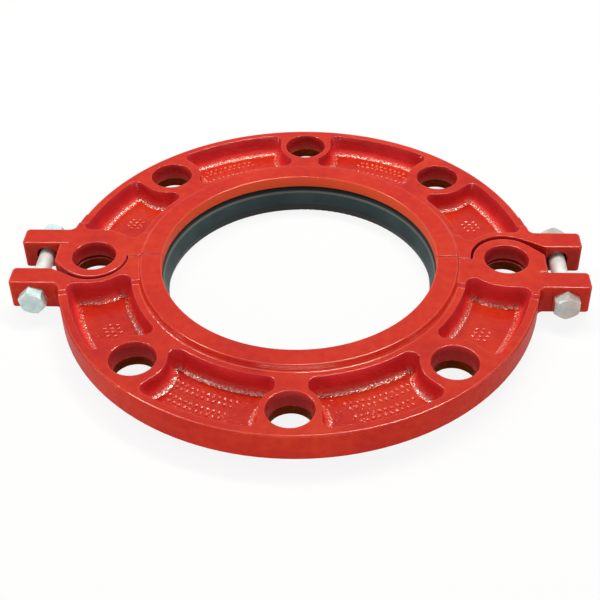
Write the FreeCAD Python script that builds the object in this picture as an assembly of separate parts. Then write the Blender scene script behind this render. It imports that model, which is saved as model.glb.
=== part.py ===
import FreeCAD, Part
import math
import os

# Split flange adapter for a 6 inch grooved pipe end, 165.1 mm outside diameter.
# Two like castings lap at the left and right bolt holes and close round the pipe.
# Their key enters the pipe groove, and a draw bolt and a nut on each side pull
# the two pairs of ears together. A rubber gasket sits in the bore under the key.
#
# Lengths are in millimetres. Z is the pipe axis, with z = 0 on the mating face.
# X runs through the laps and ears, and Y is the direction of the draw bolts.
# The front half lies at y < 0. The rear half is the same casting turned half way
# round Z, so its upper lug lies where the front half has its lower one.

V = FreeCAD.Vector
ORIGIN = V(0, 0, 0)
Z_AXIS = V(0, 0, 1)

# Flange ring
flange_diameter = 279.4
flange_thickness = 16.0
rim_edge_radius = 1.2
hole_edge_distance = 19.05
holes_between_laps = 3
hole_mouth_diameter = 26.0
hole_throat_diameter = 24.4
hole_straight_depth = 9.0
lap_hole_straight_depth = 9.7

# Hub ring with the key that enters the pipe groove
key_bore_diameter = 160.4
key_thickness = 7.2
key_edge_radius = 0.5
hub_diameter = 184.6
hub_rise = 3.2
hub_draft = 22.0
hub_edge_radius = 0.8
hub_foot_radius = 1.5
fillet_share_of_wall = 0.5
gasket_cavity_diameter = 182.0

# Pockets that lighten each half between its bolt bosses
pocket_depth = 11.0
pocket_hub_diameter = 196.0
pocket_rim_lip = 5.1
pocket_rim_slope = 4.0
pocket_draft_run = 1.0
pocket_corner_radius = 5.0
pocket_foot_corner_radius = 5.0
pocket_floor_radius = 4.8
fillet_share_of_corner = 0.96
side_boss_radius = 18.5
side_rib_width = 16.0
middle_boss_radius = 16.3
middle_rib_width = 17.0
lap_boss_radius = 25.2
lap_rib_width = 35.0

# Raised flat round each lap
lap_rise = 1.6
lap_flat_half_angle = 13.4
lap_ramp_length = 2.0

# Lugs that lap round the left and right bolt holes, and the recesses they enter
joint_gap = 0.6
lug_radius = 19.5
lug_flank_angle = 45.0
lug_corner_radius = 2.5
lug_edge_radius = 1.0
lug_to_bolt_axis = 9.0
lower_lug_thickness = 6.5
lug_gap = 1.7
recess_side_gap = 1.0
recess_end_gap = 2.5
recess_flank_angle = 61.0

# Ears for the draw bolts
ear_spacing = 22.8
ear_thickness = 14.35
ear_reach = 26.6
ear_end_radius = 2.5
ear_root_radius = 4.0
ear_edge_radius = 1.2
slot_width = 12.0
slot_straight = 0.6
slot_centre_height = 8.0

# Draw bolts and nuts, 3/8 inch hexagon
bolt_diameter = 9.525
bolt_length = 63.5
bolt_axis_outset = 12.7
bolt_axis_height = 7.3
bolt_point_chamfer = 0.9
hex_across_flats = 14.29
hex_chamfer_angle = 30.0
head_height = 6.6
nut_height = 8.3
nut_running_clearance = 0.05
head_turn_left = 15.0
head_turn_right = 30.0
nut_turn_left = 12.0
nut_turn_right = 30.0

# Gasket, seen in section from its seat down to the lip that the mating flange presses
gasket_clearance = 0.3
gasket_seat_width = 6.7
gasket_shoulder_drop = 3.2
gasket_lip_width = 11.2
gasket_throat_width = 13.8
gasket_throat_drop = 0.2
gasket_face_lip_width = 12.4
gasket_face_proud = 5.5
gasket_foot_width = 3.6
gasket_edge_radius = 0.8

# Places and radii that follow from the sizes above
flange_radius = flange_diameter / 2
hole_radius = flange_radius - hole_edge_distance
hub_top = flange_thickness + hub_rise
key_underside = hub_top - key_thickness
lap_top = flange_thickness + lap_rise
ear_inner = ear_spacing / 2
ear_outer = ear_inner + ear_thickness
ear_end = flange_radius + ear_reach
bolt_axis_x = flange_radius + bolt_axis_outset
upper_lug_underside = lower_lug_thickness + lug_gap
hole_pitch = 180.0 / (holes_between_laps + 1)
right_lap_angle = 0.0
left_lap_angle = -180.0

# How far cutters run past what they cut, and how near an edge must be to count as found
over = 5.0
tolerance = 1e-3


def polar(radius, degrees, z=0.0):
    angle = math.radians(degrees)
    return V(radius * math.cos(angle), radius * math.sin(angle), z)


def rounded_rim(body, height, radius):
    """A prism with the edges at this height rounded all round."""
    rim = [edge for edge in body.Edges if edge.BoundBox.ZMin > height - tolerance
           and edge.BoundBox.ZMax < height + tolerance]
    return body.makeFillet(radius, rim)


def closed_face(corners):
    return Part.Face(Part.makePolygon(corners + corners[:1]))


def prism(face, bottom, top):
    low = face.copy()
    low.translate(V(0, 0, bottom))
    return low.extrude(V(0, 0, top - bottom))


def rounded_face(corners):
    """A plan outline from (x, y, radius) corners, with an arc at each radius above zero."""
    count = len(corners)
    ends = []
    for i, (x, y, radius) in enumerate(corners):
        here = V(x, y, 0)
        back = (V(*corners[i - 1][:2], 0) - here).normalize()
        ahead = (V(*corners[(i + 1) % count][:2], 0) - here).normalize()
        half = back.getAngle(ahead) / 2
        setback = radius / math.tan(half)
        middle = here + (back + ahead).normalize() * (radius / math.sin(half) - radius)
        ends.append((here + back * setback, middle, here + ahead * setback, radius))
    edges = []
    for i, (start, middle, end, radius) in enumerate(ends):
        if radius > 0:
            edges.append(Part.Arc(start, middle, end).toShape())
        edges.append(Part.LineSegment(end, ends[(i + 1) % count][0]).toShape())
    return Part.Face(Part.Wire(edges))


def circular_edges(shape, radius, z):
    """Edges of a turned shape that lie on the circle of this radius at this height."""
    found = []
    for edge in shape.Edges:
        curve = edge.Curve
        if curve.TypeId != "Part::GeomCircle":
            continue
        if abs(curve.Radius - radius) < tolerance and abs(curve.Center.z - z) < tolerance:
            found.append(edge)
    return found


def ring_blank(rim_top, start, sweep):
    """Part of the turned ring, from the gasket cavity out to the rim, with its hub and key."""
    key_radius = key_bore_diameter / 2
    cavity_radius = gasket_cavity_diameter / 2
    hub_radius = hub_diameter / 2
    wall = hub_top - rim_top
    foot_radius = hub_radius + wall * math.tan(math.radians(hub_draft))
    section = [
        (cavity_radius, 0),
        (flange_radius, 0),
        (flange_radius, rim_top),
        (foot_radius, rim_top),
        (hub_radius, hub_top),
        (key_radius, hub_top),
        (key_radius, key_underside),
        (cavity_radius, key_underside),
    ]
    ring = closed_face([V(r, 0, z) for r, z in section]).revolve(ORIGIN, Z_AXIS, sweep)
    ring.rotate(ORIGIN, Z_AXIS, start)
    most = fillet_share_of_wall * wall
    for radius, z, size in (
        (flange_radius, rim_top, rim_edge_radius),
        (foot_radius, rim_top, min(hub_foot_radius, most)),
        (hub_radius, hub_top, min(hub_edge_radius, most)),
        (key_radius, hub_top, key_edge_radius),
    ):
        ring = ring.makeFillet(size, circular_edges(ring, radius, z))
    return ring


def keep_outline(angle, boss_radius, rib_width):
    """Plan of what a pocket leaves standing: a boss open to the rim and its rib to the hub."""
    far = flange_radius + over
    near = gasket_cavity_diameter / 2 - over
    half_rib = rib_width / 2
    boss = Part.Face(Part.Wire([
        Part.Arc(
            V(hole_radius, boss_radius, 0),
            V(hole_radius - boss_radius, 0, 0),
            V(hole_radius, -boss_radius, 0),
        ).toShape(),
        Part.LineSegment(V(hole_radius, -boss_radius, 0), V(far, -boss_radius, 0)).toShape(),
        Part.LineSegment(V(far, -boss_radius, 0), V(far, boss_radius, 0)).toShape(),
        Part.LineSegment(V(far, boss_radius, 0), V(hole_radius, boss_radius, 0)).toShape(),
    ]))
    rib = closed_face([
        V(near, -half_rib, 0),
        V(hole_radius, -half_rib, 0),
        V(hole_radius, half_rib, 0),
        V(near, half_rib, 0),
    ])
    outline = boss.fuse(rib).removeSplitter()
    outline.rotate(ORIGIN, Z_AXIS, angle)
    return outline


def kept_places():
    """Angle, boss radius and rib width at each bolt hole of the front half."""
    places = [
        (left_lap_angle, lap_boss_radius, lap_rib_width),
        (right_lap_angle, lap_boss_radius, lap_rib_width),
    ]
    for i in range(1, holes_between_laps + 1):
        beside_lap = i in (1, holes_between_laps)
        boss = side_boss_radius if beside_lap else middle_boss_radius
        rib = side_rib_width if beside_lap else middle_rib_width
        places.append((left_lap_angle + i * hole_pitch, boss, rib))
    return places


def pocket_outlines(inner, outer, growth, corner, z):
    """Pocket outlines with rounded corners: a region held back by the corner radius,
    then grown by it. Growth thickens the bosses and ribs, for the drafted floor."""
    annulus = Part.Face([Part.Wire(Part.makeCircle(outer - corner)), Part.Wire(Part.makeCircle(inner + corner))])
    annulus.validate()
    front = closed_face([V(-outer, 0, 0), V(-outer, -outer, 0), V(outer, -outer, 0), V(outer, 0, 0)])
    kept = [
        keep_outline(angle, boss + growth + corner, rib + 2 * (growth + corner))
        for angle, boss, rib in kept_places()
    ]
    outlines = []
    for face in annulus.common(front).cut(kept).Faces:
        wire = face.makeOffset2D(corner).OuterWire
        wire.translate(V(0, 0, z))
        outlines.append(wire)
    return outlines


def pocket_cutters():
    """Drafted pockets, steep at the hub and bosses, sloped at the rim, with a rounded floor.
    Their walls run up to the lap flats, so that they also cut those cleanly."""
    hub_side = pocket_hub_diameter / 2
    rim_side = flange_radius - pocket_rim_lip
    floor = flange_thickness - pocket_depth
    flare = lap_rise * pocket_rim_slope / pocket_depth
    mouths = pocket_outlines(hub_side, rim_side + flare, 0.0, pocket_corner_radius, lap_top)
    feet = pocket_outlines(
        hub_side + pocket_draft_run,
        rim_side - pocket_rim_slope,
        pocket_draft_run,
        pocket_foot_corner_radius,
        floor,
    )
    floor_radius = min(pocket_floor_radius, fillet_share_of_corner * pocket_foot_corner_radius)
    cutters = []
    for mouth, foot in zip(mouths, feet):
        pocket = Part.makeLoft([foot, mouth], True, True)
        floor_edges = [edge for edge in pocket.Edges if edge.BoundBox.ZMax < floor + tolerance]
        cutters.append(pocket.makeFillet(floor_radius, floor_edges))
    return cutters


def hole_cutter(angle, top, straight_depth):
    """Cast bolt hole: straight from the mating face, then drafted out to its mouth."""
    mouth = hole_mouth_diameter / 2
    throat = hole_throat_diameter / 2
    section = [
        (0, -over),
        (throat, -over),
        (throat, straight_depth),
        (mouth, top),
        (mouth, top + over),
        (0, top + over),
    ]
    hole = closed_face([V(r, 0, z) for r, z in section]).revolve(ORIGIN, Z_AXIS, 360)
    hole.translate(polar(hole_radius, angle))
    return hole


def lap_flat():
    """The raised flat at the right lap, with the ramp that leads down to the ring."""
    past_ramp = (lap_ramp_length + over) / (gasket_cavity_diameter / 2)
    sweep = lap_flat_half_angle + math.degrees(past_ramp)
    flat = ring_blank(lap_top, -sweep, sweep)
    far = flange_radius + over
    above = [
        (0, lap_top),
        (-lap_ramp_length, flange_thickness),
        (-far, flange_thickness),
        (-far, hub_top + over),
        (0, hub_top + over),
    ]
    ramp = closed_face([V(0, y, z) for y, z in above]).extrude(V(far, 0, 0))
    ramp.rotate(ORIGIN, Z_AXIS, -lap_flat_half_angle)
    return flat.cut(ramp)


def flank_corner(radius, angle):
    """How far along the lap the flank of a lug or recess meets its inner side."""
    return radius * (1 + math.cos(math.radians(angle))) / math.sin(math.radians(angle))


def lug_outline():
    """Plan of the lug at the right lap: round about the hole, then a flank to its shoulder."""
    angle = math.radians(lug_flank_angle)
    shoulder = bolt_axis_x - lug_to_bolt_axis
    shoulder_y = (lug_radius - (shoulder - hole_radius) * math.cos(angle)) / math.sin(angle)
    return rounded_face([
        (hole_radius - lug_radius, -ear_inner, 0),
        (hole_radius - lug_radius, flank_corner(lug_radius, lug_flank_angle), lug_radius),
        (shoulder, shoulder_y, lug_corner_radius),
        (shoulder, -ear_inner, 0),
    ])


def recess_outline():
    """Plan of the recess in the front half that the other half's lug enters at the right."""
    angle = math.radians(recess_flank_angle)
    radius = lug_radius + recess_side_gap
    centre_y = recess_end_gap - recess_side_gap
    corner_y = centre_y + flank_corner(radius, recess_flank_angle)
    flank_end = hole_radius + (radius - (ear_inner - centre_y) * math.sin(angle)) / math.cos(angle)
    far = ear_end + over
    return rounded_face([
        (hole_radius - radius, over, 0),
        (far, over, 0),
        (far, -ear_inner, 0),
        (flank_end, -ear_inner, 0),
        (hole_radius - radius, -corner_y, radius),
    ])


def ear():
    """The front half's right ear, rounded at its end and filleted into the rim."""
    inside = hole_radius
    body = prism(rounded_face([
        (inside, -ear_inner, 0),
        (inside, -ear_outer, 0),
        (ear_end, -ear_outer, ear_end_radius),
        (ear_end, -ear_inner, ear_end_radius),
    ]), 0, lap_top)
    centre_y = ear_outer + ear_root_radius
    centre_x = math.sqrt((flange_radius + ear_root_radius) ** 2 - centre_y ** 2)
    centre = V(centre_x, -centre_y, 0)
    on_rim = centre * (flange_radius / (flange_radius + ear_root_radius))
    on_ear = V(centre_x, -ear_outer, 0)
    towards = ((on_rim - centre) + (on_ear - centre)).normalize()
    root = Part.Face(Part.Wire([
        Part.Arc(on_ear, centre + towards * ear_root_radius, on_rim).toShape(),
        Part.LineSegment(on_rim, V(inside, on_rim.y, 0)).toShape(),
        Part.LineSegment(V(inside, on_rim.y, 0), V(inside, -ear_outer, 0)).toShape(),
        Part.LineSegment(V(inside, -ear_outer, 0), on_ear).toShape(),
    ]))
    return rounded_rim(body.fuse(prism(root, 0, lap_top)).removeSplitter(), lap_top, ear_edge_radius)


def bolt_slot():
    """The upright slot for the draw bolt through the front half's right ear."""
    radius = slot_width / 2
    half = slot_straight / 2
    slot = Part.Face(Part.Wire([
        Part.Arc(V(radius, half, 0), V(0, half + radius, 0), V(-radius, half, 0)).toShape(),
        Part.LineSegment(V(-radius, half, 0), V(-radius, -half, 0)).toShape(),
        Part.Arc(V(-radius, -half, 0), V(0, -half - radius, 0), V(radius, -half, 0)).toShape(),
        Part.LineSegment(V(radius, -half, 0), V(radius, half, 0)).toShape(),
    ]))
    cutter = slot.extrude(V(0, 0, ear_thickness + 2 * over))
    cutter.rotate(ORIGIN, V(1, 0, 0), 90)
    cutter.translate(V(bolt_axis_x, -ear_inner + over, slot_centre_height))
    return cutter


def at_side(shape, side):
    """A feature made for the right end, or its mirror image for the left end."""
    return shape if side > 0 else shape.mirror(ORIGIN, V(1, 0, 0))


def front_half():
    """The front casting: its upper lug is at the right and its lower lug at the left."""
    blanks = [at_side(lap_flat(), side) for side in (-1, 1)]
    ring = ring_blank(flange_thickness, -180, 180).fuse(blanks)
    behind = Part.makeBox(2 * flange_diameter, flange_diameter, hub_top + 2 * over)
    behind.translate(V(-flange_diameter, -joint_gap / 2, -over))
    ring = ring.cut(behind)
    ears = [at_side(ear(), side) for side in (-1, 1)]
    upper_lug = rounded_rim(prism(lug_outline(), upper_lug_underside, lap_top), lap_top, lug_edge_radius)
    lower_lug = prism(lug_outline(), 0, lower_lug_thickness)
    upper_recess = prism(recess_outline(), lower_lug_thickness, hub_top + over)
    lower_recess = prism(recess_outline(), -over, upper_lug_underside)
    body = ring.fuse(ears).removeSplitter()
    body = body.cut([lower_recess, at_side(upper_recess, -1)])
    body = body.fuse([upper_lug, at_side(lower_lug, -1)]).removeSplitter()
    cutters = pocket_cutters()
    for i in range(1, holes_between_laps + 1):
        cutters.append(hole_cutter(left_lap_angle + i * hole_pitch, flange_thickness, hole_straight_depth))
    for side, angle in ((1, right_lap_angle), (-1, left_lap_angle)):
        cutters.append(hole_cutter(angle, lap_top, lap_hole_straight_depth))
        cutters.append(at_side(bolt_slot(), side))
    return body.cut(cutters)


def hexagon(height):
    """A hexagon prism along +Y from y = 0, one flat up, chamfered at its far end."""
    corner = hex_across_flats / math.sqrt(3)
    six_sided = closed_face([polar(corner, 60 * i) for i in range(6)]).extrude(V(0, 0, height))
    flat = hex_across_flats / 2
    drop = (corner - flat) * math.tan(math.radians(hex_chamfer_angle))
    cone = closed_face([
        V(0, 0, 0),
        V(corner, 0, 0),
        V(corner, 0, height - drop),
        V(flat, 0, height),
        V(0, 0, height),
    ]).revolve(ORIGIN, Z_AXIS, 360)
    hexed = six_sided.common(cone)
    hexed.rotate(ORIGIN, V(1, 0, 0), -90)
    return hexed


def draw_bolt(side, turn):
    """Hexagon head against the front ear, shank through both ears, point past the nut."""
    head = hexagon(head_height)
    head.rotate(ORIGIN, Z_AXIS, 180)
    head.rotate(ORIGIN, V(0, 1, 0), turn)
    shank = Part.makeCylinder(bolt_diameter / 2, bolt_length, ORIGIN, V(0, 1, 0))
    point = [edge for edge in shank.Edges if edge.BoundBox.YMin > bolt_length - tolerance]
    shank = shank.makeChamfer(bolt_point_chamfer, point)
    bolt = head.fuse(shank).removeSplitter()
    bolt.translate(V(side * bolt_axis_x, -ear_outer, bolt_axis_height))
    return bolt


def nut(side, turn):
    """Hexagon nut against the rear ear, chamfered on its outer side."""
    blank = hexagon(nut_height)
    blank.rotate(ORIGIN, V(0, 1, 0), turn)
    bore_radius = bolt_diameter / 2 + nut_running_clearance
    bore = Part.makeCylinder(bore_radius, nut_height + 2 * over, V(0, -over, 0), V(0, 1, 0))
    made = blank.cut(bore)
    made.translate(V(side * bolt_axis_x, ear_outer, bolt_axis_height))
    return made


def gasket():
    """Rubber ring: a seat in the cavity, a lip on the pipe and a lip for the mating flange."""
    outside = gasket_cavity_diameter / 2 - gasket_clearance
    top = key_underside - gasket_clearance
    lip = outside - gasket_lip_width
    throat = outside - gasket_throat_width
    face_lip = outside - gasket_face_lip_width
    section = [
        (outside, top, gasket_edge_radius),
        (outside - gasket_seat_width, top, gasket_edge_radius),
        (lip, top - gasket_shoulder_drop, gasket_edge_radius),
        (throat, -gasket_throat_drop, gasket_edge_radius),
        (face_lip, -gasket_face_proud, gasket_edge_radius),
        (face_lip + gasket_foot_width, -gasket_face_proud, gasket_edge_radius),
        (outside, 0, gasket_edge_radius),
    ]
    profile = rounded_face(section)
    profile.rotate(ORIGIN, V(1, 0, 0), 90)
    return profile.revolve(ORIGIN, Z_AXIS, 360)


def rear_half(casting):
    turned = casting.copy()
    turned.rotate(ORIGIN, Z_AXIS, 180)
    return turned


casting = front_half()
parts = {
    "front_half_flange": casting,
    "rear_half_flange": rear_half(casting),
    "gasket": gasket(),
    "left_draw_bolt": draw_bolt(-1, head_turn_left),
    "right_draw_bolt": draw_bolt(1, head_turn_right),
    "left_nut": nut(-1, nut_turn_left),
    "right_nut": nut(1, nut_turn_right),
}

os.makedirs("parts", exist_ok=True)
for name, shape in parts.items():
    shape.exportStep("parts/" + name + ".step")
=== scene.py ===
import math

import bpy
from mathutils import Matrix, Vector

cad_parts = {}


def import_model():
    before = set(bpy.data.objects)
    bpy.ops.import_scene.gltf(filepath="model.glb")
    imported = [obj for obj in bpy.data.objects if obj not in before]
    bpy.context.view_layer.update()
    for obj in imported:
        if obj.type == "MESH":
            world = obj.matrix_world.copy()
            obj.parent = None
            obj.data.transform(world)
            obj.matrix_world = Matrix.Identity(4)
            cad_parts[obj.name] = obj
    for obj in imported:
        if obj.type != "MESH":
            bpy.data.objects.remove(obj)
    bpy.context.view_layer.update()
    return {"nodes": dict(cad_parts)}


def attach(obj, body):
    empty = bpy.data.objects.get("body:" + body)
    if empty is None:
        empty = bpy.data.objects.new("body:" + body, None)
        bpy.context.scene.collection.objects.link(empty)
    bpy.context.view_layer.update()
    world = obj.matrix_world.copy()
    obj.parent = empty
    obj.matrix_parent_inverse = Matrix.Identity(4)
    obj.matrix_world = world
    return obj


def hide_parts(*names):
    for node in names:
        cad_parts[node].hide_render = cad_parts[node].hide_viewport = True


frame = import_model()

MM = 0.001
TAU = 2 * math.pi

# Values repeated from the part, with lengths in metres
HOLE_COUNT = 8
HOLE_CIRCLE_RADIUS = 120.65 * MM
HOLE_THROAT_RADIUS = 12.2 * MM
BOLT_AXIS_X = 152.4 * MM
BOLT_AXIS_Z = 7.3 * MM
EAR_OUTER = 25.75 * MM
BOLT_LENGTH = 63.5 * MM
BOLT_RADIUS = 4.7625 * MM
THREAD_PITCH = 1.5875 * MM
HEAD_HEIGHT = 6.6 * MM
HEAD_HALF_FLATS = 7.145 * MM
POCKET_FLOOR = 5.0 * MM
RIM_TOP = 16.0 * MM
LOWEST = -5.5 * MM


# Node helpers. A value is a number, a colour of three numbers or another node's socket.

def new_material(name):
    material = bpy.data.materials.new(name)
    material.use_nodes = True
    material.node_tree.nodes.clear()
    return material


def feed(tree, socket, value):
    """Sets a socket to a value, or links another socket to it."""
    if isinstance(value, bpy.types.NodeSocket):
        tree.links.new(value, socket)
    elif isinstance(value, tuple):
        socket.default_value = (*value, 1.0)
    else:
        socket.default_value = value


def add(tree, kind, **inputs):
    """A new node, with its inputs named with underscores for spaces."""
    node = tree.nodes.new(kind)
    for key, value in inputs.items():
        feed(tree, node.inputs[key.replace("_", " ")], value)
    return node


def coordinates(tree):
    return add(tree, "ShaderNodeTexCoord").outputs["Object"]


def axes(tree, vector):
    return add(tree, "ShaderNodeSeparateXYZ", Vector=vector).outputs[:3]


def noise(tree, coords, scale, detail):
    return add(tree, "ShaderNodeTexNoise", Vector=coords, Scale=scale, Detail=detail).outputs["Fac"]


def ramp(tree, share, stops):
    """A colour ramp. Each stop is a place from 0 to 1 and a colour."""
    node = add(tree, "ShaderNodeValToRGB", Fac=share)
    elements = node.color_ramp.elements
    while len(elements) < len(stops):
        elements.new(0.5)
    for element, (place, colour) in zip(elements, stops):
        element.position = place
        element.color = (*colour, 1.0)
    return node.outputs["Color"]


def ramped(tree, value, start, end, low=0.0, high=1.0):
    """Low at the start value and high at the end value, straight between them."""
    limits = {"From_Min": start, "From_Max": end, "To_Min": low, "To_Max": high}
    return add(tree, "ShaderNodeMapRange", Value=value, **limits).outputs["Result"]


def span(tree, share, low, high):
    """Low where the share is 0 and high where it is 1."""
    return ramped(tree, share, 0.0, 1.0, low, high)


def calculate(tree, operation, *values):
    """One sum on sockets or plain numbers."""
    node = add(tree, "ShaderNodeMath")
    node.operation = operation
    for socket, value in zip(node.inputs, values):
        feed(tree, socket, value)
    return node.outputs[0]


def times(tree, first, second):
    return calculate(tree, "MULTIPLY", first, second)


def larger(tree, first, second):
    return calculate(tree, "MAXIMUM", first, second)


def hypotenuse(tree, first, second):
    squares = [times(tree, side, side) for side in (first, second)]
    return calculate(tree, "SQRT", calculate(tree, "ADD", *squares))


def blend(tree, share, first, second, blend_type="MIX"):
    """The first colour where the share is 0 and the second where it is 1."""
    node = add(tree, "ShaderNodeMix")
    node.data_type = "RGBA"
    node.blend_type = blend_type
    factor, colour_a, colour_b = (node.inputs[i] for i in (0, 6, 7))
    feed(tree, factor, share)
    feed(tree, colour_a, first)
    feed(tree, colour_b, second)
    return node.outputs[2]


def bump(tree, height, strength, distance, normal):
    inputs = {"Height": height, "Strength": strength, "Distance": distance, "Normal": normal}
    return add(tree, "ShaderNodeBump", **inputs).outputs["Normal"]


def bevel(tree, radius):
    node = add(tree, "ShaderNodeBevel", Radius=radius)
    node.samples = 8
    return node.outputs["Normal"]


def mix_shaders(tree, share, first, second):
    """The first shader's node where the share is 0 and the second's where it is 1."""
    node = add(tree, "ShaderNodeMixShader", Fac=share)
    feed(tree, node.inputs[1], first.outputs[0])
    feed(tree, node.inputs[2], second.outputs[0])
    return node


def output(tree, node, kind="ShaderNodeOutputMaterial"):
    """Makes a shader's node the tree's result."""
    add(tree, kind, Surface=node.outputs[0])


def principled(tree, **inputs):
    output(tree, add(tree, "ShaderNodeBsdfPrincipled", **inputs))


# Where each finish of the castings lies, as a share from 0 to 1. Each pair of numbers is where
# the share begins and where it is full: a height, a distance from an axis, or the Z of a normal.

BORE_WALL = (14.6 * MM, 14.2 * MM)
BORE_LOWER_PART = (6.3 * MM, 5.5 * MM)
BORE_BELOW_MOUTH = (15.8 * MM, 15.0 * MM)
UPPER_BORE_SHARE = 0.1
OUTSIDE_HUB = (95.0 * MM, 96.0 * MM)
INSIDE_RIM = (137.5 * MM, 136.5 * MM)
INSIDE_KEY = (82.0 * MM, 81.0 * MM)
UP_POCKET_WALL = (POCKET_FLOOR + 2.5 * MM, POCKET_FLOOR + 7.5 * MM)
OFF_POCKET_FLOOR = (POCKET_FLOOR + 0.01 * MM, POCKET_FLOOR + 0.05 * MM)
BELOW_POCKET_WALL = (POCKET_FLOOR + 1.8 * MM, POCKET_FLOOR + 0.6 * MM)
BELOW_TOP = (15.0 * MM, 12.0 * MM)
STEEP = (0.98, 0.78)
WALL_TO_FLAT = (0.70, 0.98)
OFF_FLAT = (0.998, 0.988)
OFF_WALL = (0.80, 0.92)

WALL_GLOSS = 0.12
FLAT_GLOSS = 0.18
SLOPE_GLOSS = 0.68
FOOT_GLOSS = 1.0


def bore_painted_shade_share(tree, coords):
    """1 on the lower walls of the bolt holes, a little on the upper ones and 0 elsewhere. This is
    where brown shade is painted.
    """
    x, y, z = axes(tree, coords)
    step = TAU / HOLE_COUNT
    angle = calculate(tree, "ARCTAN2", y, x)
    nearest_hole = calculate(tree, "ROUND", calculate(tree, "DIVIDE", angle, step))
    off = calculate(tree, "SUBTRACT", angle, times(tree, nearest_hole, step))
    radius = hypotenuse(tree, x, y)
    outward = times(tree, radius, calculate(tree, "COSINE", off))
    outward = calculate(tree, "SUBTRACT", outward, HOLE_CIRCLE_RADIUS)
    sideways = times(tree, radius, calculate(tree, "SINE", off))
    on_wall = ramped(tree, hypotenuse(tree, outward, sideways), *BORE_WALL)
    lower_part = ramped(tree, z, *BORE_LOWER_PART)
    below_mouth = ramped(tree, z, *BORE_BELOW_MOUTH, 0.0, UPPER_BORE_SHARE)
    return times(tree, on_wall, larger(tree, lower_part, below_mouth))


def pocket_ring(tree, radius):
    """1 between the hub and the rim, where the pockets and bolt holes are, and 0 elsewhere."""
    outside_hub = ramped(tree, radius, *OUTSIDE_HUB)
    return times(tree, outside_hub, ramped(tree, radius, *INSIDE_RIM))


def pocket_foot(tree, ring, height):
    """1 on the lowest part of the fillet round a pocket's floor and 0 elsewhere."""
    off_floor = ramped(tree, height, *OFF_POCKET_FLOOR)
    return times(tree, ring, times(tree, off_floor, ramped(tree, height, *BELOW_POCKET_WALL)))


def steep_share(tree):
    """1 on steep walls and 0 on flat ground."""
    facing_up = axes(tree, add(tree, "ShaderNodeNewGeometry").outputs["Normal"])[2]
    return ramped(tree, facing_up, *STEEP)


def coat_share(tree, edge, foot, painted_bore_shade):
    """How much clear gloss the paint has. Gentle slopes, where the photograph shows glints, have
    the most, flats and walls have little, and the painted brown shade in the bolt holes has none."""
    tilt = axes(tree, edge)[2]
    flat_or_wall = ramped(tree, tilt, *WALL_TO_FLAT, WALL_GLOSS, FLAT_GLOSS)
    gentle = times(tree, ramped(tree, tilt, *OFF_FLAT), ramped(tree, tilt, *OFF_WALL))
    rounded = times(tree, gentle, span(tree, foot, SLOPE_GLOSS, FOOT_GLOSS))
    return times(tree, larger(tree, flat_or_wall, rounded), span(tree, painted_bore_shade, 1.0, 0.0))


# Materials. Noise scales are per metre. A skin is the strength and depth of a fine bump.

BROAD_SHARE = 0.65
ENAMEL = (
    (0.34, (0.450, 0.013, 0.009)),
    (0.50, (0.525, 0.022, 0.008)),
    (0.68, (0.585, 0.037, 0.011)),
)
# Light salmon red for the flash lines in the bolt holes: a painted highlight
FLASH_PAINTED_HIGHLIGHT = (
    (0.30, (0.72, 0.26, 0.18)),
    (0.70, (0.86, 0.44, 0.32)),
)
# The pockets' walls, crimson and brighter at the feet than up the walls: painted light and shade
WALL_FOOT_PAINTED_LIGHT = (
    (0.30, (0.72, 0.036, 0.036)),
    (0.70, (0.84, 0.056, 0.054)),
)
WALL_TOP_PAINTED_SHADING = (
    (0.30, (0.50, 0.022, 0.028)),
    (0.70, (0.60, 0.036, 0.044)),
)
# Dark brown for the lower walls of the bolt holes: painted shade
BORE_PAINTED_SHADE = (
    (0.30, (0.17, 0.042, 0.008)),
    (0.70, (0.32, 0.080, 0.016)),
)
KEY_RED = (0.78, 0.085, 0.024)
# Creamy red specks at the pockets' feet: painted glints
PAINTED_GLINT_RED = (1.0, 0.40, 0.25)
PAINTED_GLINT_SAND = (0.48, 0.64)
PAINTED_GLINT_SHARE = 0.52
TOP_GRAIN = 0.08
LOW_GRAIN = 0.30
GRAIN_DEPTH = 0.44 * MM
PAINT_SKIN = (0.22, 0.7 * MM)
FINE_SKIN = (0.25, 0.12 * MM)

RUBBER = (
    (0.30, (0.020, 0.046, 0.056)),
    (0.75, (0.042, 0.080, 0.096)),
)
# Heights where each band of the gasket begins and is full, and its colour: a painted highlight on
# the shoulder, painted shade on the seat above it under the key, and painted shade on the lip below
# the mating face
RUBBER_PAINTED_LIGHT_BANDS = (
    (7.3 * MM, 7.9 * MM, (0.13, 0.18, 0.18)),
    (8.5 * MM, 9.1 * MM, (0.010, 0.017, 0.019)),
    (0.3 * MM, -0.3 * MM, (0.006, 0.007, 0.006)),
)

# The plating's film from dark to light, and its tint from the left bolt to the right one
FILM = ((0.28, (0.54, 0.68, 0.78)), (0.76, (0.92, 1.0, 1.0)))
FILM_TINTS = ((0.25, (0.78, 0.97, 0.97)), (0.55, (0.80, 0.86, 0.88)), (0.80, (0.70, 0.60, 0.56)))
# A lighter copy of the film and tints for the shanks: a painted highlight
SHANK_HIGHLIGHT_FILM = ((0.28, (0.70, 0.82, 0.90)), (0.76, (0.98, 1.0, 1.0)))
SHANK_HIGHLIGHT_TINTS = ((0.25, (0.86, 0.96, 1.0)), (0.55, (0.92, 0.98, 1.0)), (0.80, (1.0, 1.0, 1.0)))
TINT_SHIFT = 0.25


def top_red(tree, coords, stops):
    """Red that varies in broad and in fine patches."""
    broad = times(tree, noise(tree, coords, 26.0, 3.0), BROAD_SHARE)
    fine = times(tree, noise(tree, coords, 210.0, 2.0), 1 - BROAD_SHARE)
    return ramp(tree, calculate(tree, "ADD", broad, fine), stops)


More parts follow.
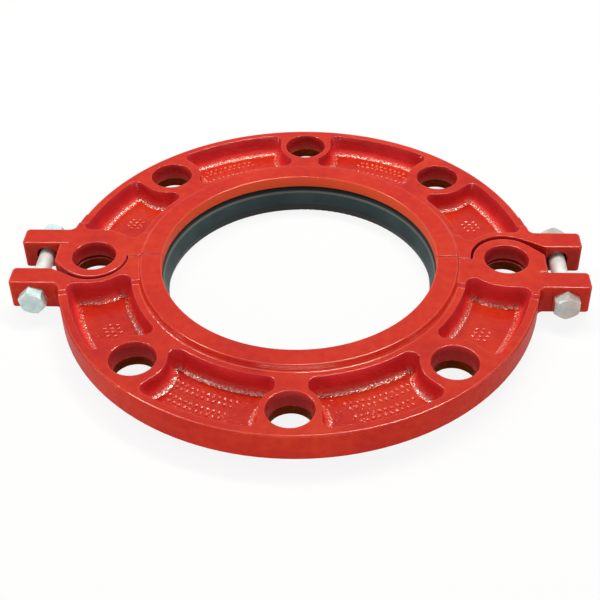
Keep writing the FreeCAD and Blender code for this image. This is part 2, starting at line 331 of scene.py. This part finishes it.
def wall_painted_shading(tree, coords, height):
    """Red of the pockets' walls, brighter towards their feet: a separate copy of the enamel with
    painted light and shade.
    """
    mottle = noise(tree, coords, 60.0, 3.0)
    foot, top = ramp(tree, mottle, WALL_FOOT_PAINTED_LIGHT), ramp(tree, mottle, WALL_TOP_PAINTED_SHADING)
    return blend(tree, ramped(tree, height, *UP_POCKET_WALL), foot, top)


def red_enamel(name, edge_radius, top_stops=ENAMEL):
    """Gloss red paint over sand-cast iron: smoothest on the tops and grainy below them. Painted
    light and shade give the pockets' walls their own red, painted glint specks lie at the feet of
    the pockets, and painted brown shade lies on the lower walls of the bolt holes."""
    material = new_material(name)
    tree = material.node_tree
    coords = coordinates(tree)
    x, y, height = axes(tree, coords)
    radius = hypotenuse(tree, x, y)
    ring = pocket_ring(tree, radius)
    foot = pocket_foot(tree, ring, height)
    steep = steep_share(tree)
    painted_bore_shade = bore_painted_shade_share(tree, coords)
    sand = noise(tree, coords, 900.0, 0.3)

    walls = times(tree, ring, steep)
    key = times(tree, ramped(tree, radius, *INSIDE_KEY), steep)
    painted_glints = times(tree, foot, ramped(tree, sand, *PAINTED_GLINT_SAND, 0.0, PAINTED_GLINT_SHARE))
    colour = top_red(tree, coords, top_stops)
    colour = blend(tree, walls, colour, wall_painted_shading(tree, coords, height))
    colour = blend(tree, key, colour, KEY_RED)
    colour = blend(tree, painted_glints, colour, PAINTED_GLINT_RED)
    colour = blend(tree, painted_bore_shade, colour, ramp(tree, noise(tree, coords, 150.0, 3.0), BORE_PAINTED_SHADE))

    edge = bevel(tree, edge_radius)
    graininess = larger(tree, foot, ramped(tree, height, *BELOW_TOP, TOP_GRAIN, LOW_GRAIN))
    grain = bump(tree, sand, graininess, GRAIN_DEPTH, edge)
    skin = bump(tree, noise(tree, coords, 170.0, 2.0), *PAINT_SKIN, grain)

    principled(
        tree,
        Base_Color=colour,
        Roughness=span(tree, noise(tree, coords, 90.0, 4.0), 0.42, 0.60),
        Specular_IOR_Level=0.03,
        Normal=skin,
        Coat_Weight=coat_share(tree, edge, foot, painted_bore_shade),
        Coat_Roughness=0.06,
        Coat_IOR=1.8,
        Coat_Normal=skin,
    )
    return material


def gasket_rubber():
    """Moulded rubber, dark grey, with bands of painted highlight and painted shade."""
    material = new_material("gasket_rubber")
    tree = material.node_tree
    coords = coordinates(tree)
    height = axes(tree, coords)[2]
    colour = ramp(tree, noise(tree, coords, 60.0, 4.0), RUBBER)
    for begins, full, band_colour in RUBBER_PAINTED_LIGHT_BANDS:
        colour = blend(tree, ramped(tree, height, begins, full), colour, band_colour)
    skin = bump(tree, noise(tree, coords, 900.0, 3.0), *FINE_SKIN, bevel(tree, 0.5 * MM))
    principled(
        tree,
        Base_Color=colour,
        Roughness=span(tree, noise(tree, coords, 140.0, 3.0), 0.42, 0.62),
        IOR=1.5,
        Specular_IOR_Level=0.25,
        Normal=skin,
    )
    return material


def zinc_plate(name, metallic, film, tints):
    """Plated steel with a mottled passivated film."""
    material = new_material(name)
    tree = material.node_tree
    coords = coordinates(tree)
    x = axes(tree, coords)[0]
    shift = ramped(tree, x, -BOLT_AXIS_X, BOLT_AXIS_X, -TINT_SHIFT, TINT_SHIFT)
    tint = ramp(tree, calculate(tree, "ADD", noise(tree, coords, 110.0, 3.0), shift), tints)
    mottled = ramp(tree, noise(tree, coords, 220.0, 4.0), film)
    skin = bump(tree, noise(tree, coords, 1200.0, 3.0), *FINE_SKIN, bevel(tree, 0.4 * MM))
    principled(
        tree,
        Base_Color=blend(tree, 1.0, mottled, tint, "MULTIPLY"),
        Metallic=metallic,
        Roughness=span(tree, noise(tree, coords, 320.0, 3.0), 0.22, 0.42),
        Normal=skin,
    )
    return material


CASTING_FINISH = red_enamel("red_enamel", 0.8 * MM)
BAR_FINISH = red_enamel("red_enamel_fine", 0.25 * MM)
FLASH_HIGHLIGHT_FINISH = red_enamel("red_enamel_painted_highlight", 0.25 * MM, FLASH_PAINTED_HIGHLIGHT)
GASKET_FINISH = gasket_rubber()
HEAD_AND_NUT_FINISH = zinc_plate("zinc_plate", 0.28, FILM, FILM_TINTS)
SHANK_PAINTED_HIGHLIGHT_FINISH = zinc_plate("zinc_plate_painted_highlight", 0.25, SHANK_HIGHLIGHT_FILM, SHANK_HIGHLIGHT_TINTS)

for node_name, finish in {
    "front_half_flange": CASTING_FINISH,
    "rear_half_flange": CASTING_FINISH,
    "gasket": GASKET_FINISH,
    "left_draw_bolt": HEAD_AND_NUT_FINISH,
    "right_draw_bolt": HEAD_AND_NUT_FINISH,
    "left_nut": HEAD_AND_NUT_FINISH,
    "right_nut": HEAD_AND_NUT_FINISH,
}.items():
    materials = frame["nodes"][node_name].data.materials
    materials.clear()
    materials.append(finish)


# Mesh helpers

def polar(radius, angle, z=0.0):
    return Vector((radius * math.cos(angle), radius * math.sin(angle), z))


def skin_rings(rings):
    """Points and quads of a skin over like rings of points, each closed round."""
    count = len(rings[0])
    faces = []
    for low in range(0, (len(rings) - 1) * count, count):
        high = low + count
        for j in range(count):
            k = (j + 1) % count
            faces.append((low + j, low + k, high + k, high + j))
    return [point for ring in rings for point in ring], faces


def merged(shapes):
    """One pair of points and faces from several."""
    points, faces = [], []
    for more_points, more_faces in shapes:
        base = len(points)
        points += more_points
        faces += [tuple(base + i for i in face) for face in more_faces]
    return points, faces


def mesh_object(name, points, faces, material):
    mesh = bpy.data.meshes.new(name)
    mesh.from_pydata([tuple(p) for p in points], [], faces)
    mesh.validate()
    mesh.materials.append(material)
    for polygon in mesh.polygons:
        polygon.use_smooth = True
    obj = bpy.data.objects.new(name, mesh)
    bpy.context.scene.collection.objects.link(obj)
    return obj


def cast_detail(name, shapes, material, body):
    """Small raised shapes on a casting, as one piece that rides with it."""
    obj = mesh_object(name, *merged(shapes), material)
    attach(obj, body)


# Draw bolts: hexagon head, plain shank and a rolled thread at the far end. A depth is measured
# from under the head towards the thread, so it is negative in the head.

BOLT_POINTS = 96
FACE_RADIUS = 0.88 * HEAD_HALF_FLATS
FACE_RING_SHARES = (0.02, 0.5, 0.96)
CHAMFER_HEIGHT = 1.5 * MM
CHAMFER_RINGS = 16
CHAMFER_SLOPE = math.tan(math.radians(30))
NECK_FILLET = 0.3 * MM
THREAD_START = 38.1 * MM
THREAD_DEPTH = 0.61 * THREAD_PITCH
THREAD_RUN_IN = 1.5 * THREAD_PITCH
# Where the flats end and begin, on the way from the middle of a root to that of a crest
ROOT_UNTIL = 0.15
CREST_FROM = 0.87
RINGS_PER_TURN = 9
END_CHAMFER = 0.9 * MM
END_FACE_RADIUS = BOLT_RADIUS - 1.2 * MM
END_CENTRE_RADIUS = 0.05 * MM
SHARP_EDGE = math.radians(24)


def head_radius(angle, depth):
    """The hexagon head's distance from the axis, with the chamfer at its far end."""
    flat = HEAD_HALF_FLATS / math.cos((angle % (TAU / 6)) - TAU / 12)
    return min(flat, FACE_RADIUS + (HEAD_HEIGHT + depth) / CHAMFER_SLOPE)


def thread_profile(turn):
    """0 at a crest and 1 at a root, with a flat at each."""
    off_root = abs((turn % 1.0) - 0.5) * 2
    return min(1.0, max(0.0, (CREST_FROM - off_root) / (CREST_FROM - ROOT_UNTIL)))


def thread_radius(angle, run):
    """The thread's distance from the axis, at a run past its start."""
    groove = thread_profile(run / THREAD_PITCH - angle / TAU)
    radius = BOLT_RADIUS - min(1.0, run / THREAD_RUN_IN) * THREAD_DEPTH * groove
    left = BOLT_LENGTH - THREAD_START - run
    return min(radius, BOLT_RADIUS - END_CHAMFER + left)


def draw_bolt(side, turn, node_name):
    """Made of rings from the middle of the head's face to the middle of the thread's end. Its
    head and its shank have a material each; the shank's lighter plating is a painted highlight."""
    turned = math.radians(turn)
    rings = []

    def ring(depth, radius_at):
        points = []
        for i in range(BOLT_POINTS):
            angle = TAU * i / BOLT_POINTS
            x, z, _ = polar(radius_at(angle), angle)
            points.append(Vector((side * BOLT_AXIS_X + x, depth - EAR_OUTER, BOLT_AXIS_Z - z)))
        rings.append(points)

    for share in FACE_RING_SHARES:
        ring(-HEAD_HEIGHT, lambda angle: FACE_RADIUS * share)
    for i in range(CHAMFER_RINGS + 1):
        depth = CHAMFER_HEIGHT * i / CHAMFER_RINGS - HEAD_HEIGHT
        ring(depth, lambda angle: head_radius(angle - turned, depth))
    ring(0, lambda angle: head_radius(angle - turned, 0))

    first_highlight_ring = len(rings)
    ring(0, lambda angle: BOLT_RADIUS + NECK_FILLET)
    ring(NECK_FILLET, lambda angle: BOLT_RADIUS)
    ring(THREAD_START, lambda angle: BOLT_RADIUS)
    turns = (BOLT_LENGTH - THREAD_START) / THREAD_PITCH
    for i in range(1, int(turns * RINGS_PER_TURN) + 1):
        run = i * THREAD_PITCH / RINGS_PER_TURN
        ring(THREAD_START + run, lambda angle: thread_radius(angle, run))
    ring(BOLT_LENGTH, lambda angle: END_FACE_RADIUS)
    ring(BOLT_LENGTH, lambda angle: END_CENTRE_RADIUS)

    points, faces = skin_rings(rings)
    last = len(points) - BOLT_POINTS
    faces.append(tuple(reversed(range(BOLT_POINTS))))
    faces.append(tuple(range(last, len(points))))
    bolt = mesh_object(node_name + "_detail", points, faces, HEAD_AND_NUT_FINISH)
    bolt.data.set_sharp_from_angle(angle=SHARP_EDGE)
    bolt.data.materials.append(SHANK_PAINTED_HIGHLIGHT_FINISH)
    for polygon in bolt.data.polygons[first_highlight_ring * BOLT_POINTS:last]:
        polygon.material_index = 1
    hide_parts(node_name)
    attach(bolt, "front_half")


draw_bolt(-1, 15.0, "left_draw_bolt")
draw_bolt(1, 30.0, "right_draw_bolt")


# Rows of plain raised bars on the pocket floors, in place of the castings' lettering

BAR_LENGTH = 2.5 * MM
BAR_WIDTH = 2.0 * MM
BAR_HEIGHT = 0.70 * MM
BAR_PITCH = 3.3 * MM
BAR_POINTS = 20
# How far the points at the middle of a bar's sides spread along it
BAR_SPREAD = 6
# The share of the bar's width and of its height at each ring, from the floor to the crown
BAR_PROFILE = ((1.0, -0.25), (0.94, 0.25), (0.76, 0.62), (0.48, 0.88), (0.06, 1.0))

# Each row's radius in mm and number of bars, then each pocket's middle in degrees and its rows
SMALL_ROWS = ((111.2, 3), (114.8, 4), (118.4, 3))
LARGE_ROWS = ((109.6, 12), (113.2, 11), (119.4, 11), (123.0, 10))
POCKETS = {
    "front_half": (
        (-153.3, SMALL_ROWS), (-114.5, LARGE_ROWS), (-66.0, LARGE_ROWS), (-26.7, SMALL_ROWS),
    ),
    "rear_half": (
        (24.5, SMALL_ROWS), (65.0, LARGE_ROWS), (115.0, LARGE_ROWS), (155.5, SMALL_ROWS),
    ),
}


def bar(radius, angle):
    """A low crowned bar with round ends, its length pointing away from the pipe axis."""
    outward = polar(1.0, angle)
    sideways = polar(1.0, angle + TAU / 4)
    half_width = BAR_WIDTH / 2
    half_straight = (BAR_LENGTH - BAR_WIDTH) / 2
    rings = []
    for share, rise in BAR_PROFILE:
        centre = polar(radius, angle, POCKET_FLOOR + rise * BAR_HEIGHT)
        ring = []
        for i in range(BAR_POINTS):
            c, s, _ = polar(1.0, TAU * i / BAR_POINTS)
            end = math.copysign(half_straight, c) * min(1.0, abs(c) * BAR_SPREAD)
            x = end + c * half_width * share
            y = s * half_width * share
            ring.append(centre + outward * x + sideways * y)
        rings.append(ring)
    points, faces = skin_rings(rings)
    faces.append(tuple(range(len(points) - BAR_POINTS, len(points))))
    return points, faces


def bar_row(middle, radius, count):
    """Bars evenly spaced round the pipe axis."""
    step = BAR_PITCH / radius
    return [bar(radius, middle + (i - (count - 1) / 2) * step) for i in range(count)]


for body, pockets in POCKETS.items():
    for number, (middle, rows) in enumerate(pockets, start=1):
        bars = []
        for radius_mm, count in rows:
            bars += bar_row(math.radians(middle), radius_mm * MM, count)
        cast_detail(f"{body}_ticks_{number}", bars, BAR_FINISH, body)


# Thin flash lines left where the parts of the mould met, part way down each bolt hole. Their
# light red is a painted highlight.

FLASH_POINTS = 64
FLASH_Z = 6.2 * MM
FLASH_PROUD = 0.40 * MM
FLASH_HEIGHT = 0.9 * MM
LAP_FLASH_HEIGHT = 0.6 * MM
# The share of the line's depth, away from the hole's axis, and of its half height
FLASH_PROFILE = ((0.15, -1.0), (-0.6, -0.45), (-1.0, 0.0), (-0.6, 0.45), (0.15, 1.0))


def flash_line(degrees, high):
    """A low ridge round the wall of the bolt hole at an angle from +X."""
    centre = polar(HOLE_CIRCLE_RADIUS, math.radians(degrees), FLASH_Z)
    rings = []
    for out, up in FLASH_PROFILE:
        radius = HOLE_THROAT_RADIUS + out * FLASH_PROUD
        rings.append([
            centre + polar(radius, TAU * i / FLASH_POINTS, up * high / 2)
            for i in range(FLASH_POINTS)
        ])
    return skin_rings(rings)


for body, lap in (("front_half", -180), ("rear_half", 0)):
    lines = [flash_line(lap + degrees, FLASH_HEIGHT) for degrees in (45, 90, 135)]
    lines.append(flash_line(lap, LAP_FLASH_HEIGHT))
    cast_detail(f"{body}_flash_lines", lines, FLASH_HIGHLIGHT_FINISH, body)


# Camera, from a fit to the circles in the photograph, which is 600 pixels each way. It looks at
# the middle of the rim's top, which falls on a pixel a little off the photograph's middle.

PHOTO_PIXELS = 600
AIM_PIXEL_X = 298.88
AIM_PIXEL_Y = 259.39
FOCAL_PIXELS = 1153.21
SENSOR_MM = 36.0
CAMERA_DISTANCE = 675.1 * MM
CAMERA_ELEVATION = math.radians(38.646)
CAMERA_AZIMUTH = math.radians(2.979)
CAMERA_ROLL = math.radians(-1.373)


def place_camera():
    flat_back = polar(math.cos(CAMERA_ELEVATION), CAMERA_AZIMUTH - TAU / 4)
    back = flat_back + Vector((0, 0, math.sin(CAMERA_ELEVATION)))
    right = (-back).cross(Vector((0, 0, 1))).normalized()
    up = right.cross(-back)
    cosine, sine = math.cos(CAMERA_ROLL), math.sin(CAMERA_ROLL)
    rows = (cosine * right + sine * up, cosine * up - sine * right, back)
    matrix = Matrix(rows).transposed().to_4x4()
    matrix.translation = back * CAMERA_DISTANCE + Vector((0, 0, RIM_TOP))

    data = bpy.data.cameras.new("camera")
    data.sensor_width = SENSOR_MM
    data.lens = FOCAL_PIXELS / PHOTO_PIXELS * SENSOR_MM
    data.shift_x = (PHOTO_PIXELS / 2 - AIM_PIXEL_X) / PHOTO_PIXELS
    data.shift_y = (AIM_PIXEL_Y - PHOTO_PIXELS / 2) / PHOTO_PIXELS
    data.clip_start = 0.01
    data.clip_end = 50.0
    camera = bpy.data.objects.new("camera", data)
    camera.matrix_world = matrix
    bpy.context.scene.collection.objects.link(camera)
    bpy.context.scene.camera = camera


place_camera()


# Floor, lights and world

WHITE = (1.0, 1.0, 1.0)
FLOOR_HALF = 6.0
FLOOR_GLOW = 0.88
FLOOR_SEEN = (0.84, 0.90, 1.0)
FLOOR_BOUNCE = (0.36, 0.27, 0.16)
ROOM = (1.0, 0.84, 0.76)
ROOM_IN_FRONT = 0.44
ROOM_BEHIND = 0.13
WARM = (1.0, 0.93, 0.80)
AMBER = (1.0, 0.93, 0.82)

# Name, place, the point it faces, width and height, radiance and colour
LIGHTS = (
    ("key_behind", (0.18, 0.38, 0.95), (0, 0, 0), (0.52, 0.13), 29.0, WARM),
    ("key_halo", (0.06, 0.385, 0.96), (0, 0, 0), (1.00, 0.32), 2.2, WARM),
    ("key_left", (-0.42, 0.33, 0.87), (0, 0, 0), (0.60, 0.10), 13.0, WARM),
    ("fill_front", (0.0, -0.62, 0.06), (0, -0.14, 0.0), (0.50, 0.10), 8.6, AMBER),
    ("fill_left", (-0.80, -0.12, 0.10), (-0.12, 0, 0), (0.36, 0.12), 15.0, WARM),
    ("fill_right", (0.80, -0.14, 0.10), (0.12, 0, 0), (0.36, 0.12), 9.0, WARM),
)


def background_rays(tree):
    """1 for the rays that show the background: seen, mirrored or through glass."""
    path = add(tree, "ShaderNodeLightPath").outputs
    indirect = larger(tree, path["Is Glossy Ray"], path["Is Transmission Ray"])
    return larger(tree, path["Is Camera Ray"], indirect)


def floor():
    """White where it is seen, with a faint shadow, and pale tan as a bounce surface."""
    material = new_material("pale_floor")
    tree = material.node_tree
    shaded = add(tree, "ShaderNodeBsdfDiffuse", Color=FLOOR_SEEN)
    glow = add(tree, "ShaderNodeEmission", Color=WHITE, Strength=1.0)
    seen = mix_shaders(tree, FLOOR_GLOW, shaded, glow)
    bounce = add(tree, "ShaderNodeBsdfDiffuse", Color=FLOOR_BOUNCE)
    output(tree, mix_shaders(tree, background_rays(tree), bounce, seen))
    corners = ((-1, -1), (1, -1), (1, 1), (-1, 1))
    points = [(x * FLOOR_HALF, y * FLOOR_HALF, LOWEST) for x, y in corners]
    mesh_object("floor", points, [(0, 1, 2, 3)], material)


def world():
    """A warm room, brighter in front of the part, and white where it is seen."""
    made = bpy.data.worlds.new("soft_white")
    made.use_nodes = True
    tree = made.node_tree
    tree.nodes.clear()
    behind = axes(tree, add(tree, "ShaderNodeTexCoord").outputs["Generated"])[1]
    strength = ramped(tree, behind, -1.0, 1.0, ROOM_IN_FRONT, ROOM_BEHIND)
    room = add(tree, "ShaderNodeBackground", Color=ROOM, Strength=strength)
    white = add(tree, "ShaderNodeBackground", Color=WHITE, Strength=1.0)
    output(tree, mix_shaders(tree, background_rays(tree), room, white), "ShaderNodeOutputWorld")
    bpy.context.scene.world = made


def area_light(name, place, target, sizes, radiance, colour):
    """A rectangular light. Its power is its radiance times pi times its area."""
    data = bpy.data.lights.new(name, "AREA")
    data.shape = "RECTANGLE"
    data.size, data.size_y = sizes
    data.energy = radiance * math.pi * sizes[0] * sizes[1]
    data.color = colour
    obj = bpy.data.objects.new(name, data)
    obj.location = place
    obj.rotation_euler = (Vector(target) - Vector(place)).to_track_quat("-Z", "Y").to_euler()
    bpy.context.scene.collection.objects.link(obj)


floor()
world()
for light in LIGHTS:
    area_light(*light)

bpy.context.scene.view_settings.view_transform = "Standard"
